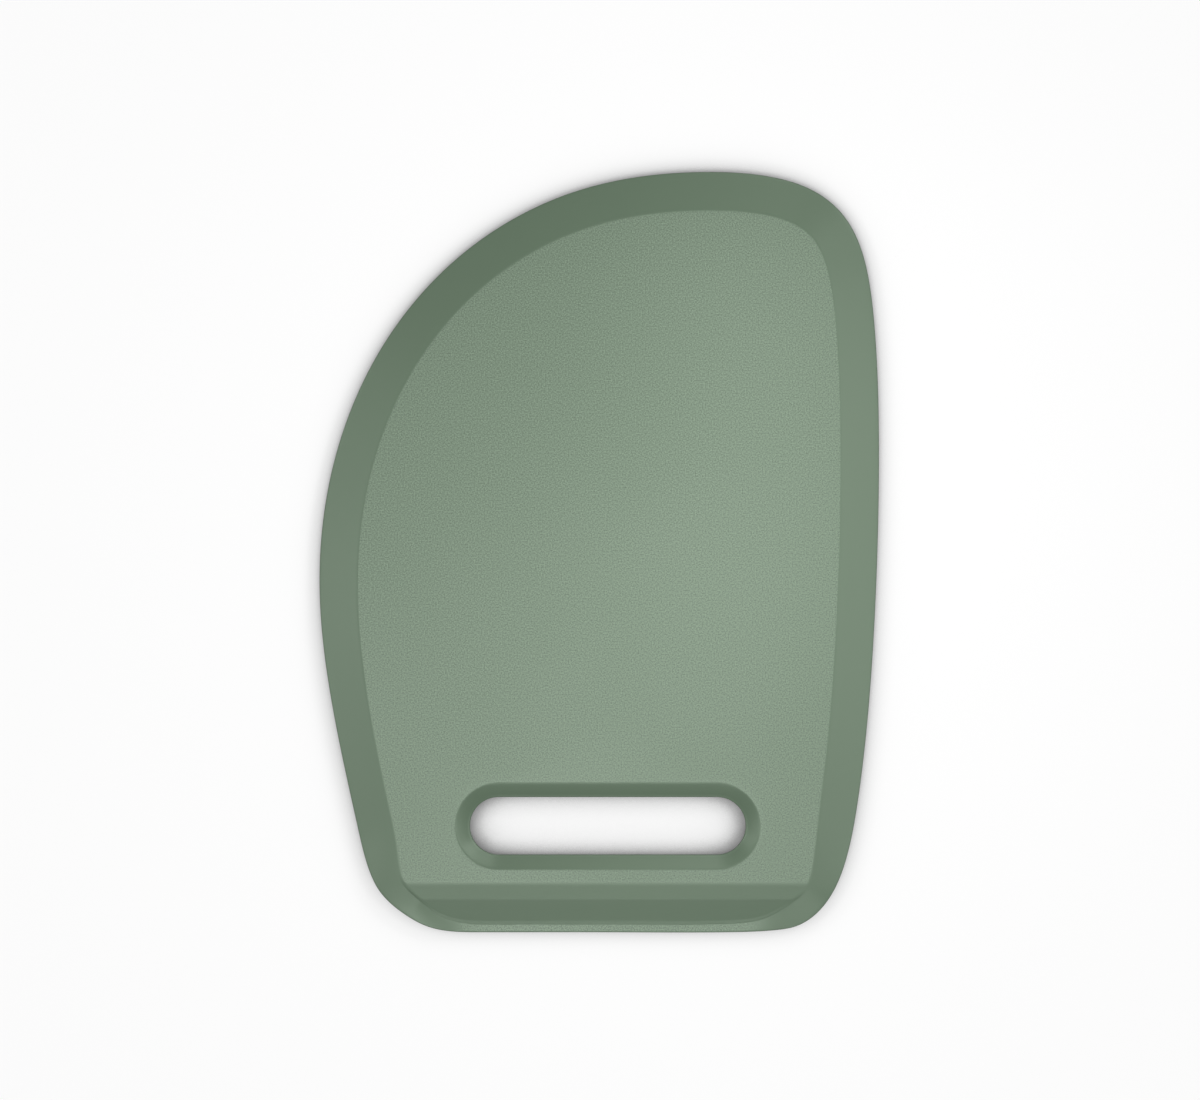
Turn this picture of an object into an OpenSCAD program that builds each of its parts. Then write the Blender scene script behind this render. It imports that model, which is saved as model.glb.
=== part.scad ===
// Dough scraper: a soft body moulded round a thin stiff nylon plate.
// It lies on its back face. +Y runs from the straight scraping edge to the curved end,
// +Z runs through the thickness, and the origin is under the middle of the outline.
// Front and back are alike, so every section is mirrored about the middle plane.

/* [Body] */
// Length from the straight scraping edge to the top of the curve
body_length = 160; // [130:1:200]
// Width across the curve
body_width = 117.6; // [96:0.1:147]
// Thickness between the two flat faces
body_thickness = 6; // [5:0.1:8]

/* [Bevel] */
// Width of the bevel round the curved edge
bevel_width = 8; // [6:0.1:10]
// Thickness left at the rim of the curved edge
rim_thickness = 2.2; // [2.1:0.1:3]
// Thickness of the rim where it is stoutest, round the lower left corner
corner_thickness = 4.4; // [3.6:0.1:4.6]
// How far each face of the rim dips below the lip where a corner runs out into it
corner_dip = 0.1; // [0.05:0.05:0.2]

/* [Scraping lip] */
// Thickness of the straight lip
lip_thickness = 1.9; // [1.4:0.1:2]
// Width of the flat land along the lip
lip_width = 2.1; // [1.5:0.1:3]
// Width of the steep slope that rises from the lip
lower_slope_width = 4.9; // [4:0.1:6]
// Width of the shallow slope between the steep one and the flat face
upper_slope_width = 3.3; // [2.5:0.1:4]
// How far the shallow slope falls on each side
upper_slope_drop = 0.55; // [0.4:0.05:0.7]
// Radius that rolls the flat face over into the shallow slope
roll_radius = 9; // [4:0.5:12]
// Radius of the hollow where the steep slope meets the lip
foot_radius = 2.2; // [1:0.1:4]

/* [Slot] */
// Length of the opening, over its round ends
slot_length = 58; // [45:0.5:66]
// Width of the opening
slot_width = 12.1; // [9:0.1:13]
// Height of the middle of the slot above the straight edge
slot_rise = 22.5; // [22:0.1:30]
// Distance of the slot from the middle of the width
slot_shift = 1.8; // [0:0.1:4]
// Width of the rounded rim round the opening
slot_rim_width = 3; // [2:0.1:3.4]
// Radius of that rounded rim
slot_rim_radius = 10; // [6:0.5:16]
// Height of the upright wall left in the middle of the thickness
slot_wall = 3.2; // [2.4:0.1:4]

/* [Core plate] */
// Thickness of the stiff plate
core_thickness = 1.6; // [1:0.1:2]
// Distance from the outline of the body to the edge of the plate
core_inset = 5.5; // [5:0.1:7]
// Soft material between the slot and the window in the plate
core_window_margin = 3; // [2:0.1:3.2]
// Diameter of the holes that let the two faces join through the plate
tie_hole_diameter = 4; // [3:0.1:5]
// Distance from the edge of the plate to the centres of the holes
tie_hole_inset = 4.2; // [3.5:0.1:5]
// Number of holes round the plate
tie_hole_count = 20; // [12:1:28]
// Bond line between the plate and the soft body
core_clearance = 0.05; // [0.02:0.01:0.1]

/* [Hidden] */

sage = [0.50, 0.56, 0.49];
nylon = [0.62, 0.62, 0.58];

overrun = 2; // how far cuts run past what they cut
outline_steps = 8; // points along each stretch of the outline
fillet_steps = 6; // chords in each fillet of the sections
fillet_limit = 0.8; // largest share of a slope that a fillet may take up
relax_passes = 24; // passes that settle the slopes of the outline
band_reach = 0.4; // how far the bevel surface runs on past its inner edge
round_fn = 64;
seam = 0.06; // how far outside the ridge the section of the faces ends round the corners
ridge_lift = 0.03; // how far the corner's band stands above the faces along that seam

panel_half = body_thickness / 2;
rim_half = rim_thickness / 2;
corner_half = corner_thickness / 2;
lip_half = lip_thickness / 2;
slot_wall_half = slot_wall / 2;
land_lift = 2 * (rim_half - lip_half); // keeps the bevel surface above the flat land

// The outline, as shares of width and length from its middle, anticlockwise from the
// middle of the straight edge. The curve is fuller at the top right.
outline_shares = [
    [0.015, -0.4995], [0.230, -0.4995], [0.318, -0.4965], [0.3505, -0.492], [0.3775, -0.4815],
    [0.417, -0.448], [0.441, -0.405], [0.461, -0.335], [0.480, -0.220], [0.4945, -0.060],
    [0.5005, 0.120], [0.494, 0.285], [0.4855, 0.345], [0.4695, 0.3975], [0.4375, 0.443],
    [0.390, 0.473], [0.3005, 0.495], [0.195, 0.5005], [-0.040, 0.4755], [-0.236, 0.398],
    [-0.391, 0.2675], [-0.4725, 0.125], [-0.5005, -0.045], [-0.4755, -0.210], [-0.431, -0.365],
    [-0.4105, -0.420], [-0.3955, -0.4425], [-0.373, -0.4615], [-0.3445, -0.4775],
    [-0.312, -0.4905], [-0.215, -0.4995]
];

// How the bevel narrows to the lip as the outline turns from facing sideways (0 degrees)
// to facing straight down (90): angle, and share of the way from lip width to bevel width.
left_band_shares = [
    [0, 1], [12, 0.95], [24, 0.77], [37, 0.50], [46, 0.42], [60, 0.38], [72, 0.29],
    [82, 0.16], [90, 0]
];
right_band_shares = [
    [0, 1], [10, 0.90], [20, 0.74], [33, 0.52], [44, 0.54], [58, 0.59], [70, 0.52],
    [80, 0.36], [86, 0.20], [90, 0]
];
// How the rim thickens round each lower corner, and how it dips where the corner ends:
// angle, and share of the way from its thickness at the sides
left_corner_shares = [
    [0, 0], [15, 0.14], [33, 0.82], [42, 0.98], [50, 1], [61, 0.8], [69, 0.3], [77, 0], [90, 0]
];
right_corner_shares = [
    [0, 0], [20, 0.1], [33, 0.36], [44, 0.55], [54, 0.5], [62, 0.3], [72, 0], [90, 0]
];
dip_shares = [[0, 0], [64, 0], [77, 1], [84, 1], [89, 0], [90, 0]];
// Angles between which the band of a lower corner keeps its own height
corner_start = 30;
corner_end = 84;

// Closed smooth curve through the knots, with slopes that match at every knot
knots = [for (share = outline_shares) [share.x * body_width, share.y * body_length]];
knot_count = len(knots);
function after(i) = (i + 1) % knot_count;
function before(i) = (i + knot_count - 1) % knot_count;
spans = [for (i = [0 : knot_count - 1]) norm(knots[after(i)] - knots[i])];
function pull(i) =
    let (a = spans[before(i)], b = spans[i])
    3 * (b * (knots[i] - knots[before(i)]) / a + a * (knots[after(i)] - knots[i]) / b);
function settle(slopes, passes) =
    passes == 0 ? slopes : settle([
        for (i = [0 : knot_count - 1])
            let (a = spans[before(i)], b = spans[i])
            (pull(i) - b * slopes[before(i)] - a * slopes[after(i)]) / (2 * (a + b))
    ], passes - 1);
slopes = settle([
    for (i = [0 : knot_count - 1])
        (knots[after(i)] - knots[before(i)]) / (spans[before(i)] + spans[i])
], relax_passes);
function curve_point(i, t) =
    (2 * t ^ 3 - 3 * t ^ 2 + 1) * knots[i] + (t ^ 3 - 2 * t ^ 2 + t) * spans[i] * slopes[i]
    + (3 * t ^ 2 - 2 * t ^ 3) * knots[after(i)] + (t ^ 3 - t ^ 2) * spans[i] * slopes[after(i)];
function curve_slope(i, t) =
    (6 * t ^ 2 - 6 * t) * (knots[i] - knots[after(i)]) / spans[i]
    + (3 * t ^ 2 - 4 * t + 1) * slopes[i] + (3 * t ^ 2 - 2 * t) * slopes[after(i)];
function outward(slope) = [slope.y, -slope.x] / norm(slope);

stations = [for (i = [0 : knot_count - 1], k = [0 : outline_steps - 1]) [i, k / outline_steps]];
outline = [for (s = stations) curve_point(s[0], s[1])];
normals = [for (s = stations) outward(curve_slope(s[0], s[1]))];
places = [0 : len(outline) - 1];
function inset_outline(distance) = [for (i = places) outline[i] - distance * normals[i]];

// Half section along the length: lip land, hollow foot, steep slope, crease, shallow slope,
// rolled edge, flat face. The two fillets shrink where a slope is too short for them.
lip_corner = [lip_width, lip_half];
crease = lip_corner + [lower_slope_width, panel_half - upper_slope_drop - lip_half];
face_corner = crease + [upper_slope_width, upper_slope_drop];
lower_angle = atan2(crease.y - lip_corner.y, lower_slope_width);
upper_angle = atan2(upper_slope_drop, upper_slope_width);
function fitting(radius, slope, angle) = min(radius, fillet_limit * slope / tan(angle / 2));
foot = fitting(foot_radius, min(lip_width, lower_slope_width), lower_angle);
roll = fitting(roll_radius, upper_slope_width, upper_angle);
function fillet(corner, radius, from, to) =
    let (
        turn = sign(to - from),
        start = corner - radius * tan(abs(to - from) / 2) * [cos(from), sin(from)]
    )
    [
        for (k = [0 : fillet_steps])
            let (a = from + (to - from) * k / fillet_steps)
            start + turn * radius * [sin(a) - sin(from), cos(from) - cos(a)]
    ];
section_top = concat(
    [[-overrun, lip_half]],
    fillet(lip_corner, foot, 0, lower_angle),
    [crease],
    fillet(face_corner, roll, upper_angle, 0),
    [[body_length + overrun, panel_half]]
);
function half_height(rise) = lookup(rise, section_top);

// Mirrors a half section, listed from left to right, about the middle plane
function both_sides(top) = concat(top, [for (i = [len(top) - 1 : -1 : 0]) [top[i].x, -top[i].y]]);

// Runs a section drawn in length and thickness across the whole width
module across(width) {
    rotate([90, 0, 90])
        linear_extrude(width, center = true)
            children();
}

module lengthwise_section() {
    translate([0, -body_length / 2, 0])
        across(body_width + 2 * overrun)
            polygon(both_sides(section_top));
}

// The bevelled blank: a loft from the rim of the outline up to the inner edge of the bevel.
// The angle by which the outline turns down sets the bevel's width and the rim's height.
downs = [for (n = normals) asin(max(0, -n.y))];
function share_at(i, left_shares, right_shares) =
    lookup(downs[i], normals[i].x < 0 ? left_shares : right_shares);
band_widths = [
    for (i = places)
        lip_width + (bevel_width - lip_width) * share_at(i, left_band_shares, right_band_shares)
];
rim_heights = [
    for (i = places)
        rim_half
            + (corner_half - rim_half) * share_at(i, left_corner_shares, right_corner_shares)
            + (lip_half - corner_dip - rim_half) * lookup(downs[i], dip_shares)
];
// A ring this far inside the ridge, and the height of the faces over it
function ridge_ring(margin) =
    [for (i = places) outline[i] - (band_widths[i] + margin) * normals[i]];
function faces_over(ring) = [for (p = ring) half_height(p.y + body_length / 2)];
seam_ring = ridge_ring(-seam);
reach_ring = ridge_ring(band_reach);
lifts = [for (a = downs) lookup(a, [[corner_end, ridge_lift], [90, land_lift]])];
ridge_heights = [for (height = faces_over(ridge_ring(0)) + lifts) min(height, panel_half)];
// Past the ridge the bevel runs on at its own slope, or clear of the faces where these rise
reach_floor = faces_over(reach_ring) + 2 * lifts;
reach_heights = [
    for (i = places)
        let (rise = (ridge_heights[i] - rim_heights[i]) * band_reach / band_widths[i])
        max(ridge_heights[i] + rise, reach_floor[i])
];
cap_height = panel_half + overrun;
function at_heights(ring, heights, side) =
    [for (i = places) [ring[i].x, ring[i].y, side * heights[i]]];
function at_height(ring, height) = [for (p = ring) [p.x, p.y, height]];
function strip(ring, next, count) = [
    for (i = [0 : count - 1])
        let (j = (i + 1) % count)
        each [
            [ring * count + i, next * count + i, next * count + j],
            [ring * count + i, next * count + j, ring * count + j]
        ]
];

module bevelled_blank() {
    count = len(outline);
    rings = concat(
        at_height(reach_ring, -cap_height),
        at_heights(reach_ring, reach_heights, -1),
        at_heights(outline, rim_heights, -1),
        at_heights(outline, rim_heights, 1),
        at_heights(reach_ring, reach_heights, 1),
        at_height(reach_ring, cap_height)
    );
    bottom = [for (i = [1 : count - 2]) [0, i, i + 1]];
    top = [for (i = [1 : count - 2]) [5 * count, 5 * count + i + 1, 5 * count + i]];
    polyhedron(rings, concat(bottom, [for (r = [0 : 4]) each strip(r, r + 1, count)], top));
}

// The band of each lower corner, where the bevel keeps its own height
module corner_bands() {
    for (side = [-1, 1])
        let (band = [
            for (i = places)
                if (side * normals[i].x > 0 && downs[i] > corner_start && downs[i] < corner_end) i
        ])
        linear_extrude(2 * cap_height, center = true)
            polygon(concat(
                [for (i = band) outline[i] + overrun * normals[i]],
                [for (k = [len(band) - 1 : -1 : 0]) seam_ring[band[k]]]
            ));
}

// Edge of the slot: an upright wall that rounds over to the flat face
rim_chord = [slot_rim_width, panel_half - slot_wall_half];
rim_radius = max(slot_rim_radius, norm(rim_chord));
rim_lean = atan2(rim_chord.y, rim_chord.x);
rim_half_turn = asin(norm(rim_chord) / (2 * rim_radius));
rim_centre = [0, slot_wall_half]
    + rim_radius * [sin(rim_lean + rim_half_turn), -cos(rim_lean + rim_half_turn)];
slot_edge = [
    for (k = [0 : fillet_steps])
        let (a = rim_lean + rim_half_turn * (1 - 2 * k / fillet_steps))
        rim_centre + rim_radius * [-sin(a), cos(a)]
];
slot_top = concat([for (p = slot_edge) [slot_width / 2 + p.x, p.y]],
    [[slot_width / 2 + slot_rim_width, panel_half + overrun]]);
slot_right = concat([for (i = [len(slot_top) - 1 : -1 : 0]) [slot_top[i].x, -slot_top[i].y]],
    slot_top);
slot_straight = slot_length - slot_width;

module at_slot() {
    translate([slot_shift, slot_rise - body_length / 2, 0])
        children();
}

module at_slot_ends() {
    for (side = [-1, 1])
        translate([side * slot_straight / 2, 0, 0])
            children();
}

module slot_cut() {
    at_slot() {
        across(slot_straight)
            polygon(concat(slot_right, [
                for (i = [len(slot_right) - 1 : -1 : 0]) [-slot_right[i].x, slot_right[i].y]
            ]));
        at_slot_ends()
            rotate_extrude($fn = round_fn)
                polygon(concat([[0, -cap_height]], slot_right, [[0, cap_height]]));
    }
}

// The stiff plate, grown all round by a bond line where it shapes the pocket
tie_path = inset_outline(core_inset + tie_hole_inset);
tie_steps = [
    for (i = [0 : len(tie_path) - 1]) norm(tie_path[(i + 1) % len(tie_path)] - tie_path[i])
];
tie_lengths = [
    for (k = 0, sum = 0; k <= len(tie_steps); sum = sum + tie_steps[k % len(tie_steps)], k = k + 1)
        sum
];
tie_total = tie_lengths[len(tie_steps)];
function along_path(distance, axis) =
    lookup(distance, [
        for (i = [0 : len(tie_path)]) [tie_lengths[i], tie_path[i % len(tie_path)][axis]]
    ]);

module core_solid(grow) {
    height = core_thickness + 2 * grow;
    window = slot_width + 2 * (core_window_margin - grow);
    difference() {
        linear_extrude(height, center = true)
            polygon(inset_outline(core_inset - grow));
        at_slot() {
            cube([slot_straight, window, height + overrun], center = true);
            at_slot_ends()
                cylinder(d = window, h = height + overrun, center = true, $fn = round_fn);
        }
        for (k = [0 : tie_hole_count - 1])
            let (distance = tie_total * (k + 0.5) / tie_hole_count)
            translate([along_path(distance, 0), along_path(distance, 1), 0])
                cylinder(d = tie_hole_diameter - 2 * grow, h = height + overrun,
                    center = true, $fn = round_fn);
    }
}

module on_its_back() {
    translate([0, 0, panel_half])
        children();
}

module overmould() {
    color(sage)
        on_its_back()
            difference() {
                intersection() {
                    bevelled_blank();
                    union() {
                        lengthwise_section();
                        corner_bands();
                    }
                }
                slot_cut();
                core_solid(core_clearance);
            }
}

module core_plate() {
    color(nylon)
        on_its_back()
            core_solid(0);
}

overmould();
core_plate();
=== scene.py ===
"""Dough scraper: a soft sage-green body with grained faces, smooth bevels and a long slot."""

import math

import bpy
import mathutils
import numpy as np
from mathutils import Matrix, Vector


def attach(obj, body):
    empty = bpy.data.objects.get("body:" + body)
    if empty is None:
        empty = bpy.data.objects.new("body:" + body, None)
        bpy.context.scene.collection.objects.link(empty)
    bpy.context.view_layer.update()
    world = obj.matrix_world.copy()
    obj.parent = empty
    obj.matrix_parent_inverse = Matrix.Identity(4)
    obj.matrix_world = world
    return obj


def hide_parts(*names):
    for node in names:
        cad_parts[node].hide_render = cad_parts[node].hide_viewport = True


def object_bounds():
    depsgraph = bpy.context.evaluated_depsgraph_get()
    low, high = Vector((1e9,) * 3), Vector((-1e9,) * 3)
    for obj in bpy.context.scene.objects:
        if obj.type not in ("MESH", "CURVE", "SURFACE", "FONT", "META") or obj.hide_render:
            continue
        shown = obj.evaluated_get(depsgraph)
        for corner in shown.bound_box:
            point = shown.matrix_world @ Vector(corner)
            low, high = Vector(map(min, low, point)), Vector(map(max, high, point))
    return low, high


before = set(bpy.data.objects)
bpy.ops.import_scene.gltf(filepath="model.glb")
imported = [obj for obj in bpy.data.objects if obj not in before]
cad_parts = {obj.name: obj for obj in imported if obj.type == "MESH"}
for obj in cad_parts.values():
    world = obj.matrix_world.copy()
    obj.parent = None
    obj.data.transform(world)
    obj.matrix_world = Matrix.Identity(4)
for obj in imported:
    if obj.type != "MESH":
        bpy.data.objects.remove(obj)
cad_low, cad_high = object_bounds()

MM = 0.001
IMAGE_WIDTH = 1200

# Body, in millimetres
BODY_LENGTH = 160.0
BODY_WIDTH = 117.6
FACE_HALF = (cad_high.z - cad_low.z) / 2 / MM
BEVEL_WIDTH = 8.0
RIM_HALF = 1.1
RIM_ROUNDING = 0.18
CREASE_ROUNDING = 0.25

# Scraping lip: its land, the foot of the slope, then the two slopes
LIP_HALF = 0.85
LIP_WIDTH = 1.6
STRIP_WIDTH = 0.55
STEP_WIDTH = 0.2
STRIP_DROP = 0.09
STEP_DROP = 0.05
LOWER_SLOPE_WIDTH = 4.7
UPPER_SLOPE_WIDTH = 3.3
UPPER_SLOPE_DROP = 0.6
ROLL_ROUNDING = 0.65
FOLD_ROUNDING = 0.08

# Slot
SLOT_LENGTH = 58.0
SLOT_WIDTH = 12.1
SLOT_RISE = 22.5
SLOT_SHIFT = 1.8
SLOT_RIM_WIDTH = 3.0
SLOT_RIM_RADIUS = 28.0
SLOT_WALL_HALF = 1.8
SLOT_EDGE_ROUNDING = 0.25
SLOT_MIDDLE = np.array([SLOT_SHIFT, SLOT_RISE - BODY_LENGTH / 2])

# Rises above the straight edge and half thicknesses that follow from the sizes above
FOOT_WIDTH = STRIP_WIDTH + STEP_WIDTH
RIDGE_RISE = LIP_WIDTH + FOOT_WIDTH
RIDGE_HALF = LIP_HALF + STRIP_DROP + STEP_DROP
FOLD_RISE = RIDGE_RISE + LOWER_SLOPE_WIDTH
FACE_RISE = FOLD_RISE + UPPER_SLOPE_WIDTH
LOWER_SLOPE = (FACE_HALF - UPPER_SLOPE_DROP - RIDGE_HALF) / LOWER_SLOPE_WIDTH
UPPER_SLOPE = UPPER_SLOPE_DROP / UPPER_SLOPE_WIDTH

# Where the grain starts: angle at which the straight edge's land begins and the degrees it
# takes to reach full grain, then the widths over which it fades in on the face
LAND_ANGLE = 86.5
LAND_FADE = 2
ROLL_FADE_START = FACE_RISE - 0.1
ROLL_FADE = 0.8
RIDGE_FADE = 0.4
SLOT_FADE = 0.3

# Mesh density: points round each ring, points per stretch of the outline, passes that settle
# its slopes, and how far in millimetres the kinks of the tables are smoothed
STATIONS = 900
CURVE_STEPS = 60
RELAX_PASSES = 24
BLEND_LENGTH = 1.6
# Rings over the rim's rounding, and between one line of the surface and the next
RIM_TURNS = 6
BEVEL_RINGS = 8
FOOT_RINGS = 6
LOWER_SLOPE_RINGS = 5
UPPER_SLOPE_RINGS = 4
ROLL_RINGS = 6
FACE_RINGS = 8
SLOT_RIM_RINGS = 6
SLOT_EDGE_TURNS = 4
# Least climb of a line towards the slot, so that one that runs level still crosses a rise,
# least width of flat face before the slot's rim, and the step over which its tilt is taken
LEAST_CLIMB = 0.03
LEAST_FACE = 1.0
SMALL_STEP = 0.01

# The outline, as shares of width and length from its middle, anticlockwise from the
# middle of the straight edge. Placed one by one, then moved onto the edge in the photograph by
# a fit. The part's source has the same points.
OUTLINE_SHARES = np.array([
    [0.015, -0.4995], [0.230, -0.4995], [0.318, -0.4965], [0.3505, -0.492], [0.3775, -0.4815],
    [0.417, -0.448], [0.441, -0.405], [0.461, -0.335], [0.480, -0.220], [0.4945, -0.060],
    [0.5005, 0.120], [0.494, 0.285], [0.4855, 0.345], [0.4695, 0.3975], [0.4375, 0.443],
    [0.390, 0.473], [0.3005, 0.495], [0.195, 0.5005], [-0.040, 0.4755], [-0.236, 0.398],
    [-0.391, 0.2675], [-0.4725, 0.125], [-0.5005, -0.045], [-0.4755, -0.210], [-0.431, -0.365],
    [-0.4105, -0.420], [-0.3955, -0.4425], [-0.373, -0.4615], [-0.3445, -0.4775],
    [-0.312, -0.4905], [-0.215, -0.4995],
])

# How the bevel changes as the outline turns from facing sideways (0 degrees) to facing
# straight down (90): angle, share of the way from the ridge's rise at the lip to the
# bevel's width
LEFT_BAND_SHARES = [
    (0, 1), (8, 0.95), (20, 0.75), (35, 0.58), (55, 0.43), (65, 0.34), (85, 0.1), (90, 0),
]
RIGHT_BAND_SHARES = [
    (0, 1), (8, 0.95), (22, 0.66), (35, 0.52), (60, 0.57), (75, 0.54), (83, 0.4), (87, 0.1), (90, 0),
]
# Angle, half thickness of the rim in millimetres. Like the crowns, round values set close
# to a fit of the photograph's tones.
LEFT_RIM_HEIGHTS = [(0, RIM_HALF), (20, 1.9), (38, 2.4), (60, 1.9), (80, 1.4), (90, LIP_HALF)]
RIGHT_RIM_HEIGHTS = [(0, RIM_HALF), (20, 2.0), (35, 2.3), (50, 1.9), (70, 1.3), (90, LIP_HALF)]
# Angle, how far the bevel bulges (above zero) or hollows (below) between ridge and rim
LEFT_CROWNS = [(0, 0), (10, 0), (22, 0.4), (38, 0), (60, -0.2), (90, 0)]
RIGHT_CROWNS = [(0, 0), (10, 0), (30, 0.2), (55, -0.15), (82, 0.4), (90, 0)]
# Angle, drop in millimetres over the strip and over the step at the foot of the slope
LEFT_STRIP_DROPS = [(42, 0), (52, 0.12), (62, 0.17), (76, 0.15), (90, STRIP_DROP)]
RIGHT_STRIP_DROPS = [(38, 0), (48, 0.09), (62, 0.10), (90, STRIP_DROP)]
STEP_DROPS = [(58, 0), (72, 0.04), (90, STEP_DROP)]


def closed_curve(knots, steps):
    """Points of a smooth closed curve through the knots, with slopes that match at each knot."""
    before = np.linalg.norm(knots - np.roll(knots, 1, axis=0), axis=1)[:, None]
    after = np.roll(before, -1, axis=0)
    previous = np.roll(knots, 1, axis=0)
    following = np.roll(knots, -1, axis=0)
    pull = 3 * (after * (knots - previous) / before + before * (following - knots) / after)
    slopes = (following - previous) / (before + after)
    for _ in range(RELAX_PASSES):
        shared = after * np.roll(slopes, 1, axis=0) + before * np.roll(slopes, -1, axis=0)
        slopes = (pull - shared) / (2 * (before + after))
    t = (np.arange(steps) / steps)[None, :, None]
    start, end = knots[:, None, :], following[:, None, :]
    leave = (after * slopes)[:, None, :]
    arrive = (after * np.roll(slopes, -1, axis=0))[:, None, :]
    points = (
        (2 * t**3 - 3 * t**2 + 1) * start + (t**3 - 2 * t**2 + t) * leave
        + (3 * t**2 - 2 * t**3) * end + (t**3 - t**2) * arrive
    )
    return points.reshape(-1, 2)


def evenly_spaced(points, count):
    """The same closed curve with its points an equal way apart."""
    closed = np.vstack([points, points[:1]])
    travelled = np.concatenate([[0], np.cumsum(np.linalg.norm(np.diff(closed, axis=0), axis=1))])
    places = np.linspace(0, travelled[-1], count, endpoint=False)
    even = np.column_stack([np.interp(places, travelled, closed[:, axis]) for axis in (0, 1)])
    return even, travelled[-1] / count


def outward_normals(points):
    """Unit normals of an anticlockwise closed curve, pointing out of it."""
    along = np.roll(points, -1, axis=0) - np.roll(points, 1, axis=0)
    normals = np.column_stack([along[:, 1], -along[:, 0]])
    return normals / np.linalg.norm(normals, axis=1)[:, None]


def blended(values, spacing):
    """The values round the outline, with the kinks of their tables smoothed away."""
    reach = int(3 * BLEND_LENGTH / spacing)
    weights = np.exp(-0.5 * (np.arange(-reach, reach + 1) * spacing / BLEND_LENGTH) ** 2)
    wrapped = np.concatenate([values[-reach:], values, values[:reach]])
    return np.convolve(wrapped, weights / weights.sum(), mode="valid")


def soft_abs(distance, rounding):
    """Like abs(), but round over this distance on each side of zero."""
    inside = (distance**2 + rounding**2) / (2 * rounding)
    return np.where(np.abs(distance) < rounding, inside, np.abs(distance))


def soft_ramp(distance, rounding):
    """Zero before zero, the distance itself after it, and round in between."""
    return (distance + soft_abs(distance, rounding)) / 2


def face_height(rise):
    """Half thickness inside the ridge, this far above the straight edge."""
    return (
        RIDGE_HALF + LOWER_SLOPE * (rise - RIDGE_RISE)
        + (UPPER_SLOPE - LOWER_SLOPE) * soft_ramp(rise - FOLD_RISE, FOLD_ROUNDING)
        - UPPER_SLOPE * soft_ramp(rise - FACE_RISE, ROLL_ROUNDING)
    )


def face_slope(rise):
    """How steeply the inside falls towards the straight edge, without its roundings."""
    return np.where(rise < FOLD_RISE, LOWER_SLOPE, np.where(rise < FACE_RISE, UPPER_SLOPE, 0.0))


def slot_profile(offsets):
    """Half thickness of the slot's rim at these distances from its wall."""
    chord = np.array([SLOT_RIM_WIDTH, FACE_HALF - SLOT_WALL_HALF])
    lean = math.atan2(chord[1], chord[0])
    half_turn = math.asin(np.linalg.norm(chord) / (2 * SLOT_RIM_RADIUS))
    centre = np.array([0, SLOT_WALL_HALF]) + SLOT_RIM_RADIUS * np.array([
        math.sin(lean + half_turn), -math.cos(lean + half_turn)
    ])
    return centre[1] + np.sqrt(SLOT_RIM_RADIUS**2 - (offsets - centre[0]) ** 2)


def slot_ring(bearings, offset):
    """Points round the slot, this far outside its wall, on the given bearings from its middle."""
    radius = SLOT_WIDTH / 2 + offset
    straight_half = (SLOT_LENGTH - SLOT_WIDTH) / 2
    c, s = np.abs(np.cos(bearings)), np.maximum(np.abs(np.sin(bearings)), 1e-9)
    on_end = straight_half * c + np.sqrt(np.maximum(radius**2 - (straight_half * s) ** 2, 0))
    reach = np.where(radius * c / s <= straight_half, radius / s, on_end)
    return SLOT_MIDDLE + reach[:, None] * np.column_stack([np.cos(bearings), np.sin(bearings)])


def by_side(left_table, right_table, angles, normals, spacing):
    """A table's values round the outline, from the table of the side that each place faces."""
    left = np.interp(angles, *zip(*left_table))
    right = np.interp(angles, *zip(*right_table))
    return blended(np.where(normals[:, 0] < 0, left, right), spacing)


def between(start, end, count):
    """Places between two distances, both left out."""
    return [start + (end - start) * (k + 1) / (count + 1) for k in range(count)]


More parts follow.
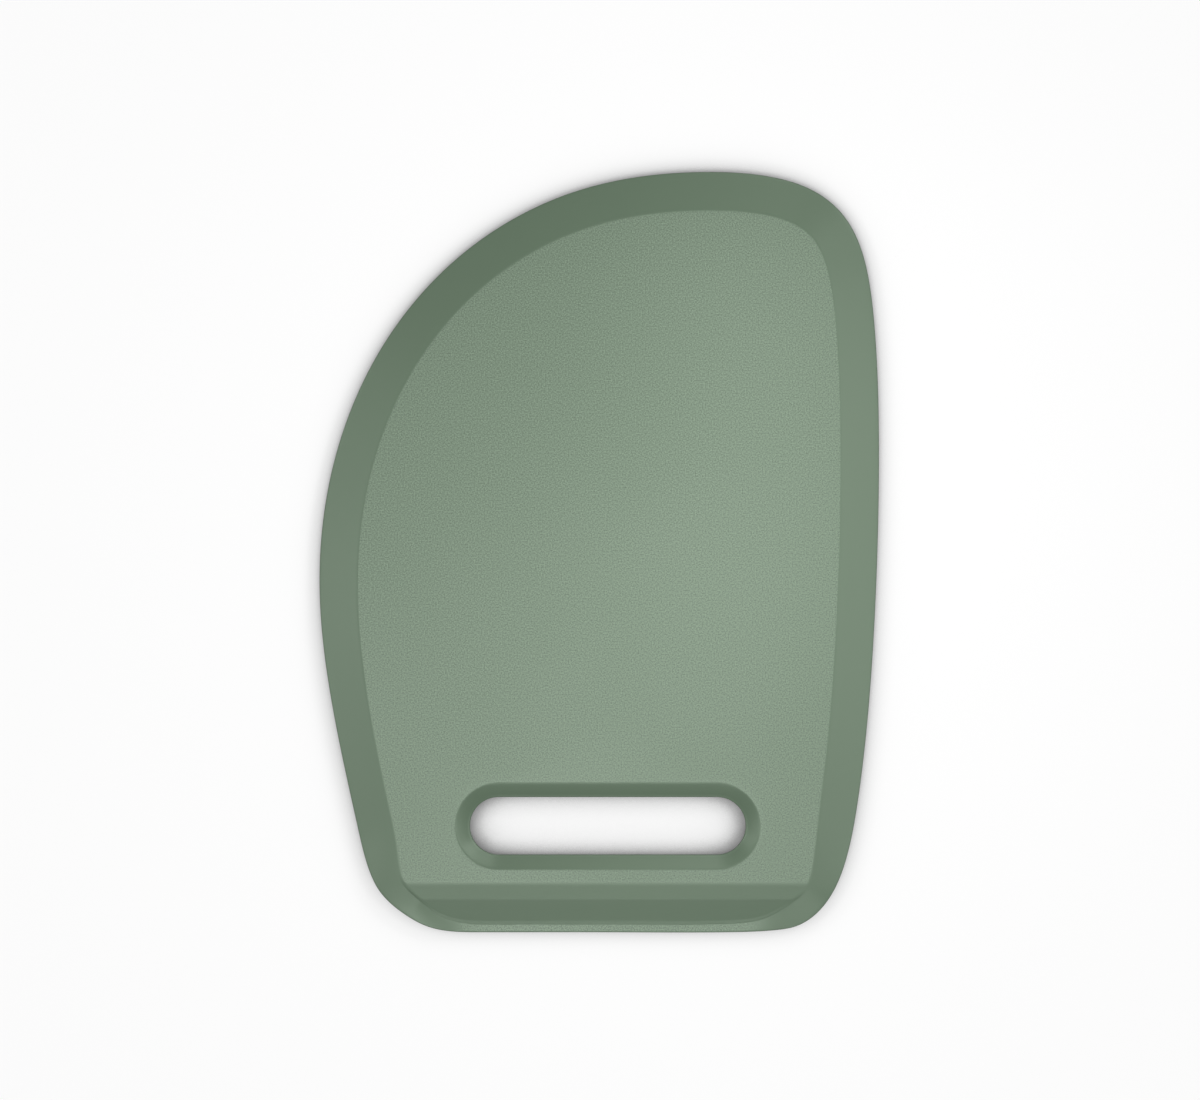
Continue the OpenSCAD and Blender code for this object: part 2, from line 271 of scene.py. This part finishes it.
class Bevel:
    """The outline and the bevel round it, with one value for each of the stations."""

    def __init__(self):
        knots = OUTLINE_SHARES * [BODY_WIDTH, BODY_LENGTH]
        self.outline, spacing = evenly_spaced(closed_curve(knots, CURVE_STEPS), STATIONS)
        self.normals = outward_normals(self.outline)
        angles = np.degrees(np.arcsin(np.clip(-self.normals[:, 1], 0, 1)))
        self.flatness = np.clip((angles - LAND_ANGLE) / LAND_FADE, 0, 1)

        def round_outline(left_table, right_table):
            return by_side(left_table, right_table, angles, self.normals, spacing)

        shares = round_outline(LEFT_BAND_SHARES, RIGHT_BAND_SHARES)
        self.widths = RIDGE_RISE + (BEVEL_WIDTH - RIDGE_RISE) * shares
        self.rims = round_outline(LEFT_RIM_HEIGHTS, RIGHT_RIM_HEIGHTS)
        self.crowns = round_outline(LEFT_CROWNS, RIGHT_CROWNS)
        self.strips = round_outline(LEFT_STRIP_DROPS, RIGHT_STRIP_DROPS)
        self.steps = round_outline(STEP_DROPS, STEP_DROPS)

        self.ridge = self.inset(self.widths)
        self.ridge_rises = self.ridge[:, 1] + BODY_LENGTH / 2
        self.ridge_heights = face_height(self.ridge_rises)
        self.drops = self.ridge_heights - self.strips - self.steps - self.rims
        self.rim_leans = np.arctan(self.drops * (1 + self.crowns) / self.widths)

        # Lines from the ridge to the slot, and how the surface turns at the ridge
        from_slot = self.ridge - SLOT_MIDDLE
        self.bearings = np.arctan2(from_slot[:, 1], from_slot[:, 0])
        to_slot = slot_ring(self.bearings, SLOT_RIM_WIDTH) - self.ridge
        self.lengths = np.linalg.norm(to_slot, axis=1)
        self.inward = to_slot / self.lengths[:, None]
        slope_out = self.drops * (1 - self.crowns) / self.widths + self.strips / STRIP_WIDTH
        slope_in = face_slope(self.ridge_rises) * self.inward[:, 1]
        self.kinks = (slope_in - slope_out) / 2

    def inset(self, distances):
        """Points this far inside the outline."""
        return self.outline - distances[:, None] * self.normals

    def height(self, from_ridge):
        """Half thickness of the bevel, this far outside the ridge."""
        share = from_ridge / self.widths
        strip = self.strips * np.clip(from_ridge / STRIP_WIDTH, 0, 1)
        step = self.steps * np.clip((from_ridge - STRIP_WIDTH) / STEP_WIDTH, 0, 1)
        sweep = (1 - self.crowns) * share + self.crowns * share**2
        return self.ridge_heights - strip - step - self.drops * sweep


def ring(plan, heights, grain):
    """One ring of points, and how grained its surface is."""
    points = np.column_stack([plan, np.broadcast_to(heights, (STATIONS,))])
    return points, np.broadcast_to(grain, (STATIONS,))


def crease(distances):
    """How much a crease is rounded off, this far from it, for each unit of its turn."""
    return soft_abs(distances, CREASE_ROUNDING) - np.abs(distances)


def rim_rings(bevel):
    """The upright wall of the rim, then a small rounding up to the bevel."""
    rings = [ring(bevel.outline, 0, 0)]
    leans = bevel.rim_leans
    centre_height = bevel.rims - RIM_ROUNDING * (1 / np.cos(leans) - np.tan(leans))
    for turn in range(RIM_TURNS + 1):
        angle = turn / RIM_TURNS * (math.pi / 2 - leans)
        plan = bevel.inset(RIM_ROUNDING - RIM_ROUNDING * np.cos(angle))
        rings.append(ring(plan, centre_height + RIM_ROUNDING * np.sin(angle), 0))
    return rings


def bevel_rings(bevel):
    """The bevel from the rim's rounding to the ridge, then a little past it."""
    rounding_end = RIM_ROUNDING - RIM_ROUNDING * np.sin(bevel.rim_leans)
    foot_end = bevel.widths - FOOT_WIDTH - STEP_WIDTH
    near_ridge = bevel.widths - CREASE_ROUNDING
    insets = between(rounding_end, foot_end, BEVEL_RINGS) + [foot_end]
    insets += between(foot_end, near_ridge, FOOT_RINGS)
    insets += [near_ridge, near_ridge + CREASE_ROUNDING / 2]
    rings = []
    for inset in insets:
        from_ridge = bevel.widths - inset
        heights = bevel.height(from_ridge) + bevel.kinks * crease(from_ridge)
        grain = bevel.flatness * np.clip((from_ridge - FOOT_WIDTH) / STEP_WIDTH, 0, 1)
        rings.append(ring(bevel.inset(inset), heights, grain))
    return rings


def inside_rings(bevel):
    """From the ridge up the slopes and over the face to the slot's rim."""
    def crossing(rise, least):
        climb = np.maximum(bevel.inward[:, 1], LEAST_CLIMB)
        return np.clip((rise - bevel.ridge_rises) / climb, least, None)

    fold = crossing(FOLD_RISE, 2 * CREASE_ROUNDING)
    roll_start = crossing(FACE_RISE - ROLL_ROUNDING, fold + CREASE_ROUNDING)
    roll_end = crossing(FACE_RISE + ROLL_ROUNDING, roll_start + CREASE_ROUNDING)
    rim_start = bevel.lengths - CREASE_ROUNDING
    roll_end = np.minimum(roll_end, rim_start - LEAST_FACE)
    places = [np.full(STATIONS, CREASE_ROUNDING * share) for share in (0, 0.5, 1)]
    places += between(places[-1], fold - FOLD_ROUNDING, LOWER_SLOPE_RINGS)
    places += [fold - FOLD_ROUNDING, fold, fold + FOLD_ROUNDING]
    places += between(fold + FOLD_ROUNDING, roll_start, UPPER_SLOPE_RINGS) + [roll_start]
    places += between(roll_start, roll_end, ROLL_RINGS) + [roll_end]
    places += between(roll_end, rim_start, FACE_RINGS)
    rings = []
    for place in places:
        plan = bevel.ridge + place[:, None] * bevel.inward
        rises = plan[:, 1] + BODY_LENGTH / 2
        heights = face_height(rises) + bevel.kinks * crease(place)
        above_roll = np.clip((rises - ROLL_FADE_START) / ROLL_FADE, 0, 1)
        rings.append(ring(plan, heights, above_roll * np.clip(place / RIDGE_FADE, 0, 1)))
    return rings


def slot_rings(bearings):
    """The slot's rim, a small rounding, and its upright wall."""
    rings = []
    tilt = (FACE_HALF - slot_profile(SLOT_RIM_WIDTH - SMALL_STEP)) / SMALL_STEP
    offsets = [SLOT_RIM_WIDTH + CREASE_ROUNDING * k / 2 for k in (2, 1, 0, -1, -2)]
    offsets += between(offsets[-1], SLOT_EDGE_ROUNDING, SLOT_RIM_RINGS) + [SLOT_EDGE_ROUNDING]
    for offset in offsets:
        past = offset - SLOT_RIM_WIDTH
        height = (FACE_HALF if past > 0 else slot_profile(offset)) - tilt / 2 * crease(past)
        rings.append(ring(slot_ring(bearings, offset), height, np.clip(past / SLOT_FADE, 0, 1)))
    edge_height = slot_profile(SLOT_EDGE_ROUNDING)
    for turn in range(1, SLOT_EDGE_TURNS + 1):
        angle = turn / SLOT_EDGE_TURNS * math.pi / 2
        offset = SLOT_EDGE_ROUNDING * (1 - math.sin(angle))
        height = edge_height - SLOT_EDGE_ROUNDING * (1 - math.cos(angle))
        rings.append(ring(slot_ring(bearings, offset), height, 0))
    return rings + [ring(slot_ring(bearings, 0), 0, 0)]


def scraper_body():
    """The soft body: rings from the middle of the rim over the front to the middle of the
    slot's wall, then the same rings mirrored for the back."""
    bevel = Bevel()
    front = rim_rings(bevel) + bevel_rings(bevel) + inside_rings(bevel)
    front += slot_rings(bevel.bearings)
    back = [(points * [1, 1, -1], grain) for points, grain in front[-2:0:-1]]
    rings = front + back
    points = np.vstack([ring for ring, _ in rings])
    points[:, 2] += FACE_HALF
    grain = np.concatenate([ring for _, ring in rings])
    here = np.arange(len(points)).reshape(len(rings), STATIONS)
    beside = np.roll(here, -1, axis=1)
    inner, inner_beside = np.roll(here, -1, axis=0), np.roll(beside, -1, axis=0)
    faces = np.stack([here, beside, inner_beside, inner], axis=-1).reshape(-1, 4)

    mesh = bpy.data.meshes.new("scraper_body")
    mesh.from_pydata((points * MM).tolist(), [], faces.tolist())
    mesh.polygons.foreach_set("use_smooth", [True] * len(mesh.polygons))
    attribute = mesh.attributes.new("grain", "FLOAT", "POINT")
    attribute.data.foreach_set("value", grain.astype(np.float32))
    mesh.validate()
    mesh.update()
    piece = bpy.data.objects.new("scraper_body", mesh)
    bpy.context.scene.collection.objects.link(piece)
    piece.data.materials.append(silicone())
    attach(piece, "root")
    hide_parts("overmould")


class Nodes:
    """Short forms for building a node material."""

    def __init__(self, name):
        self.material = bpy.data.materials.new(name)
        self.material.use_nodes = True
        self.tree = self.material.node_tree
        self.shader = self.tree.nodes["Principled BSDF"]
        self.place = self.add("ShaderNodeTexCoord").outputs["Object"]

    def add(self, kind, **settings):
        node = self.tree.nodes.new(kind)
        for setting, value in settings.items():
            setattr(node, setting, value)
        return node

    def feed(self, socket, value):
        if isinstance(value, bpy.types.NodeSocket):
            self.tree.links.new(value, socket)
        else:
            socket.default_value = value

    def noise(self, size, detail=2.0, roughness=0.5):
        """Soft noise whose cells are about this size, in metres."""
        node = self.add("ShaderNodeTexNoise")
        self.feed(node.inputs["Vector"], self.place)
        self.feed(node.inputs["Scale"], 1 / size)
        self.feed(node.inputs["Detail"], detail)
        self.feed(node.inputs["Roughness"], roughness)
        return node.outputs["Fac"]

    def spread(self, value, low, high, from_low=0.3, from_high=0.7):
        """The value, with its usual range stretched to run from low to high."""
        node = self.add("ShaderNodeMapRange")
        self.feed(node.inputs["Value"], value)
        self.feed(node.inputs["From Min"], from_low)
        self.feed(node.inputs["From Max"], from_high)
        self.feed(node.inputs["To Min"], low)
        self.feed(node.inputs["To Max"], high)
        return node.outputs["Result"]

    def times(self, first, second):
        """The two values multiplied."""
        node = self.add("ShaderNodeMath", operation="MULTIPLY")
        self.feed(node.inputs[0], first)
        self.feed(node.inputs[1], second)
        return node.outputs["Value"]

    def plus(self, first, second):
        """The two values added."""
        node = self.add("ShaderNodeMath", operation="ADD")
        self.feed(node.inputs[0], first)
        self.feed(node.inputs[1], second)
        return node.outputs["Value"]

    def colour_between(self, share, first, second):
        node = self.add("ShaderNodeMix", data_type="RGBA")
        self.feed(node.inputs["Factor"], share)
        self.feed(node.inputs["A"], (*first, 1))
        self.feed(node.inputs["B"], (*second, 1))
        return node.outputs["Result"]

    def bump(self, height, distance, normal=None):
        node = self.add("ShaderNodeBump")
        self.feed(node.inputs["Height"], height)
        self.feed(node.inputs["Distance"], distance)
        if normal is not None:
            self.feed(node.inputs["Normal"], normal)
        return node.outputs["Normal"]


# Silicone: sizes and depths of its grain and haze in metres, and its two ends of colour
GRAIN_SIZE = 0.0003
GRAIN_DEPTH = 0.00001
FINE_DEPTH = 0.000003
SPECK_STRENGTH = 0.45
HAZE_SIZE = 0.035
DARK_SAGE = (0.062, 0.088, 0.061)
LIGHT_SAGE = (0.186, 0.265, 0.182)
SHEEN_TINT = (0.855, 1.0, 0.847, 1)
SILICONE_IOR = 1.44


def silicone():
    """Sage-green silicone: fine grain on the faces and the lip, smooth on the bevels."""
    nodes = Nodes("sage_silicone")
    shader = nodes.shader
    grained = nodes.add("ShaderNodeAttribute", attribute_name="grain").outputs["Fac"]
    grain = nodes.noise(GRAIN_SIZE, detail=2, roughness=0.8)
    haze = nodes.noise(HAZE_SIZE, detail=2)
    specks = nodes.times(nodes.spread(grain, -SPECK_STRENGTH, SPECK_STRENGTH), grained)
    share = nodes.plus(specks, nodes.spread(haze, 0.48, 0.52))
    nodes.feed(shader.inputs["Base Color"], nodes.colour_between(share, DARK_SAGE, LIGHT_SAGE))
    nodes.feed(shader.inputs["Roughness"], nodes.spread(haze, 0.33, 0.35))
    nodes.feed(shader.inputs["IOR"], SILICONE_IOR)
    nodes.feed(shader.inputs["Specular Tint"], SHEEN_TINT)
    fine = nodes.bump(nodes.noise(GRAIN_SIZE), FINE_DEPTH)
    bump = nodes.bump(nodes.times(grain, grained), GRAIN_DEPTH, fine)
    nodes.feed(shader.inputs["Normal"], bump)
    return nodes.material


# Nylon: sizes of its flow marks and its fine bumps in metres, and its two ends of colour
FLOW_SIZE = 0.02
NYLON_BUMP_SIZE = 0.0008
NYLON_BUMP_DEPTH = 0.00001
DARK_NYLON = (0.60, 0.60, 0.55)
LIGHT_NYLON = (0.64, 0.64, 0.59)


def nylon():
    """Plain moulded nylon of the hidden plate, with faint flow marks."""
    nodes = Nodes("moulded_nylon")
    shader = nodes.shader
    flow = nodes.noise(FLOW_SIZE, detail=4)
    colour = nodes.colour_between(nodes.spread(flow, 0, 1), DARK_NYLON, LIGHT_NYLON)
    nodes.feed(shader.inputs["Base Color"], colour)
    nodes.feed(shader.inputs["Roughness"], nodes.spread(flow, 0.5, 0.6))
    bump = nodes.bump(nodes.noise(NYLON_BUMP_SIZE), NYLON_BUMP_DEPTH)
    nodes.feed(shader.inputs["Normal"], bump)
    return nodes.material


# Floor, world and lamps
FLOOR_SIZE = 6.0
FLOOR_TONE = 0.2
FLOOR_ROUGHNESS = 0.9
# Painted shadow on the floor: its glow is darkened where ambient occlusion finds it closed in.
# The glow where it is most closed in, then how much brighter it gets from one share of
# openness to another, and how far in metres it looks for things that close it in. Its looking
# leans a little to the south, which paints the slot's floor darker there.
DEEPEST_PAINTED_SHADOW_GLOW = 0.12
PAINTED_SHADOW_GLOW_GAINS = [(0.39, 0.62, 0.50), (0.62, 0.80, 0.14), (0.80, 0.96, 0.04)]
PAINTED_SHADOW_REACH = 0.04
PAINTED_SHADOW_LEAN = (0, -0.15, 0)
PAINTED_SHADOW_SAMPLES = 16
WORLD_STRENGTH = 0.02
# Name, bearing (0 east, 90 north) and tilt from straight up in degrees, distance from the
# middle of the scraper and size in metres, power in watts. Each lamp faces that middle. The
# low ones are small softboxes over the face. Round values, set close to a solution of the
# photograph's tones.
LAMPS = [
    ("overhead", 260, 7, 1.5, 0.3, 6.5),
    ("high_west", 185, 30, 1.5, 0.3, 2.5),
    ("high_east", 0, 30, 1.5, 0.3, 2.5),
    ("high_south", 265, 30, 1.5, 0.3, 2.0),
    ("high_south_east", 340, 30, 1.5, 0.3, 0.75),
    ("far_north_east", 35, 40, 1.5, 0.3, 2.5),
    ("far_north", 75, 40, 1.5, 0.3, 1.6),
    ("far_north_west", 160, 40, 1.5, 0.3, 2.0),
    ("low_north", 55, 30, 0.13, 0.06, 0.022),
    ("low_east", 5, 20, 0.125, 0.06, 0.015),
    ("low_middle", 315, 10, 0.125, 0.06, 0.012),
]


def seen_directly(nodes):
    """One where the camera, a reflection or a transparent surface looks, else zero."""
    path = nodes.add("ShaderNodeLightPath")
    any_ray = nodes.plus(path.outputs["Is Camera Ray"], path.outputs["Is Glossy Ray"])
    total = nodes.add("ShaderNodeMath", operation="ADD", use_clamp=True)
    nodes.feed(total.inputs[0], any_ray)
    nodes.feed(total.inputs[1], path.outputs["Is Transmission Ray"])
    return total.outputs["Value"]


def floor():
    """A pale floor that looks white, with a painted shadow close to the scraper and in its slot."""
    half = FLOOR_SIZE / 2
    mesh = bpy.data.meshes.new("floor")
    corners = [(-half, -half, 0), (half, -half, 0), (half, half, 0), (-half, half, 0)]
    mesh.from_pydata(corners, [], [(0, 1, 2, 3)])
    piece = bpy.data.objects.new("floor", mesh)
    bpy.context.scene.collection.objects.link(piece)
    nodes = Nodes("pale_floor_with_painted_shadow")
    shader = nodes.shader
    nodes.feed(shader.inputs["Base Color"], (FLOOR_TONE, FLOOR_TONE, FLOOR_TONE, 1))
    nodes.feed(shader.inputs["Roughness"], FLOOR_ROUGHNESS)
    nodes.feed(shader.inputs["Specular IOR Level"], 0)
    nodes.feed(shader.inputs["Emission Color"], (1, 1, 1, 1))
    # Painted shadow: ambient occlusion darkens the floor's glow round the scraper and in its slot.
    openness = nodes.add("ShaderNodeAmbientOcclusion", samples=PAINTED_SHADOW_SAMPLES)
    nodes.feed(openness.inputs["Distance"], PAINTED_SHADOW_REACH)
    lean = nodes.add("ShaderNodeVectorMath", operation="ADD")
    nodes.feed(lean.inputs[0], nodes.add("ShaderNodeNewGeometry").outputs["Normal"])
    nodes.feed(lean.inputs[1], PAINTED_SHADOW_LEAN)
    nodes.feed(openness.inputs["Normal"], lean.outputs["Vector"])
    glow_with_painted_shadow = DEEPEST_PAINTED_SHADOW_GLOW
    for start, end, gain in PAINTED_SHADOW_GLOW_GAINS:
        glow_with_painted_shadow = nodes.plus(glow_with_painted_shadow, nodes.spread(openness.outputs["AO"], 0, gain, start, end))
    nodes.feed(shader.inputs["Emission Strength"], nodes.times(seen_directly(nodes), glow_with_painted_shadow))
    piece.data.materials.append(nodes.material)


def studio():
    """Even world light and the lamps."""
    world = bpy.data.worlds.new("studio")
    world.use_nodes = True
    background = world.node_tree.nodes["Background"]
    background.inputs["Strength"].default_value = WORLD_STRENGTH
    background.inputs["Color"].default_value = (1, 1, 1, 1)
    bpy.context.scene.world = world
    for name, bearing, tilt, distance, size, power in LAMPS:
        light = bpy.data.lights.new(name, "AREA")
        light.shape = "DISK"
        light.size = size
        light.energy = power
        lamp = bpy.data.objects.new(name, light)
        bpy.context.scene.collection.objects.link(lamp)
        aim = mathutils.Euler((0, math.radians(tilt), math.radians(bearing)))
        lamp.location = aim.to_matrix() @ mathutils.Vector((0, 0, distance))
        lamp.rotation_euler = lamp.location.to_track_quat("Z", "Y").to_euler()
        lamp.visible_camera = False


# Camera: straight above, far enough for little perspective, in metres. In the photograph's
# pixels, the scraper's length, the picture's middle and the middle of the outline.
CAMERA_DISTANCE = 2.4
LENGTH_PIXELS = 760
PIXELS_PER_MM = LENGTH_PIXELS / BODY_LENGTH
PICTURE_MIDDLE = (600, 550)
OUTLINE_MIDDLE = (599.25, 552.5)
SENSOR_WIDTH = 36.0
CLIP_START = 0.01


def camera():
    """The camera that frames the scraper as the photograph does."""
    data = bpy.data.cameras.new("camera")
    data.sensor_width = SENSOR_WIDTH
    data.lens = SENSOR_WIDTH * CAMERA_DISTANCE / (IMAGE_WIDTH / PIXELS_PER_MM * MM)
    data.clip_start = CLIP_START
    piece = bpy.data.objects.new("camera", data)
    bpy.context.scene.collection.objects.link(piece)
    piece.location = (
        (PICTURE_MIDDLE[0] - OUTLINE_MIDDLE[0]) / PIXELS_PER_MM * MM,
        (OUTLINE_MIDDLE[1] - PICTURE_MIDDLE[1]) / PIXELS_PER_MM * MM,
        FACE_HALF * MM + CAMERA_DISTANCE,
    )
    bpy.context.scene.camera = piece


camera()
floor()
studio()
scraper_body()
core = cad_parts["core_plate"]
core.data.materials.clear()
core.data.materials.append(nylon())

bpy.context.scene.view_settings.view_transform = "Standard"
